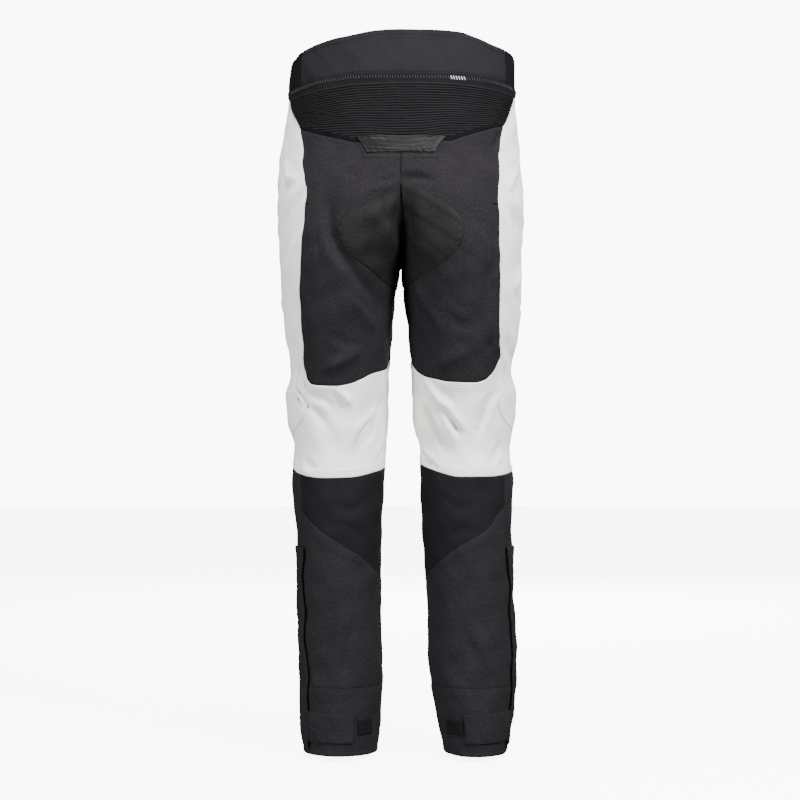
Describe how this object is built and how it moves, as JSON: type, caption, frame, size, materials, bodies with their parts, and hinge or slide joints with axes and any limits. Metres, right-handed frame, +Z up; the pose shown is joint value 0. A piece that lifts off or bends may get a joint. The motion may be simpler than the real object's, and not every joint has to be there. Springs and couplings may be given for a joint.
{
  "type": "motorcycle trousers",
  "caption": "Textile motorcycle trousers in worn form: hollow, high back waistband, ribbed back panel, light side and knee panels, zip flaps and cuff tabs.",
  "frame": {"origin": "centre of the waist, level with the top of the waistband at the wearer's right side", "axes": "+X towards the wearer's right, +Y out of the front, +Z up; the back faces -Y"},
  "size_m": [0.3667, 0.2689, 1.0598],
  "materials": {
    "black_shell": "matte woven black textile",
    "waist_cloth": "smooth matte black textile",
    "stretch": "matte black stretch cloth, ribbed on the waist panel",
    "grip": "dark textured grip cloth",
    "sheen_patch": "dark grey cloth with a slight sheen",
    "light_shell": "matte light grey woven textile",
    "elastic": "black elastic and hook-and-loop tape",
    "zip_tape": "black woven zip tape",
    "stud_metal": "dark lacquered press stud"
  },
  "bodies": {
    "root": {"Back_Patch": "sheen_patch", "Back_Thigh_Left": "black_shell", "Back_Thigh_Right": "black_shell", "Calf_Left": "stretch", "Calf_Right": "stretch", "Connection_Zip": "zip_tape", "Cuff_Back_Left": "black_shell", "Cuff_Back_Right": "black_shell", "Cuff_Tab_Left": "stretch", "Cuff_Tab_Right": "stretch", "Fly_Placket": "black_shell", "Front_Thigh_Left": "black_shell", "Front_Thigh_Right": "black_shell", "Knee_Back_Left": "light_shell", "Knee_Back_Right": "light_shell", "Knee_Cup_Left": "light_shell", "Knee_Cup_Right": "light_shell", "Loop_Patch_Left": "elastic", "Loop_Patch_Right": "elastic", "Lower_Back_Left": "black_shell", "Lower_Back_Right": "black_shell", "Lower_Front_Left": "black_shell", "Lower_Front_Right": "black_shell", "Rib_Panel": "stretch", "Seat_Patch_Left": "grip", "Seat_Patch_Right": "grip", "Side_Panel_Left": "light_shell", "Side_Panel_Right": "light_shell", "Waist_Stud": "stud_metal", "Waistband_Back": "waist_cloth", "Waistband_Elastic_Left": "elastic", "Waistband_Elastic_Right": "elastic", "Waistband_Front_Left": "waist_cloth", "Waistband_Front_Right": "waist_cloth", "Zip_Flap_Left": "black_shell", "Zip_Flap_Right": "black_shell"}
  },
  "joints": []
}
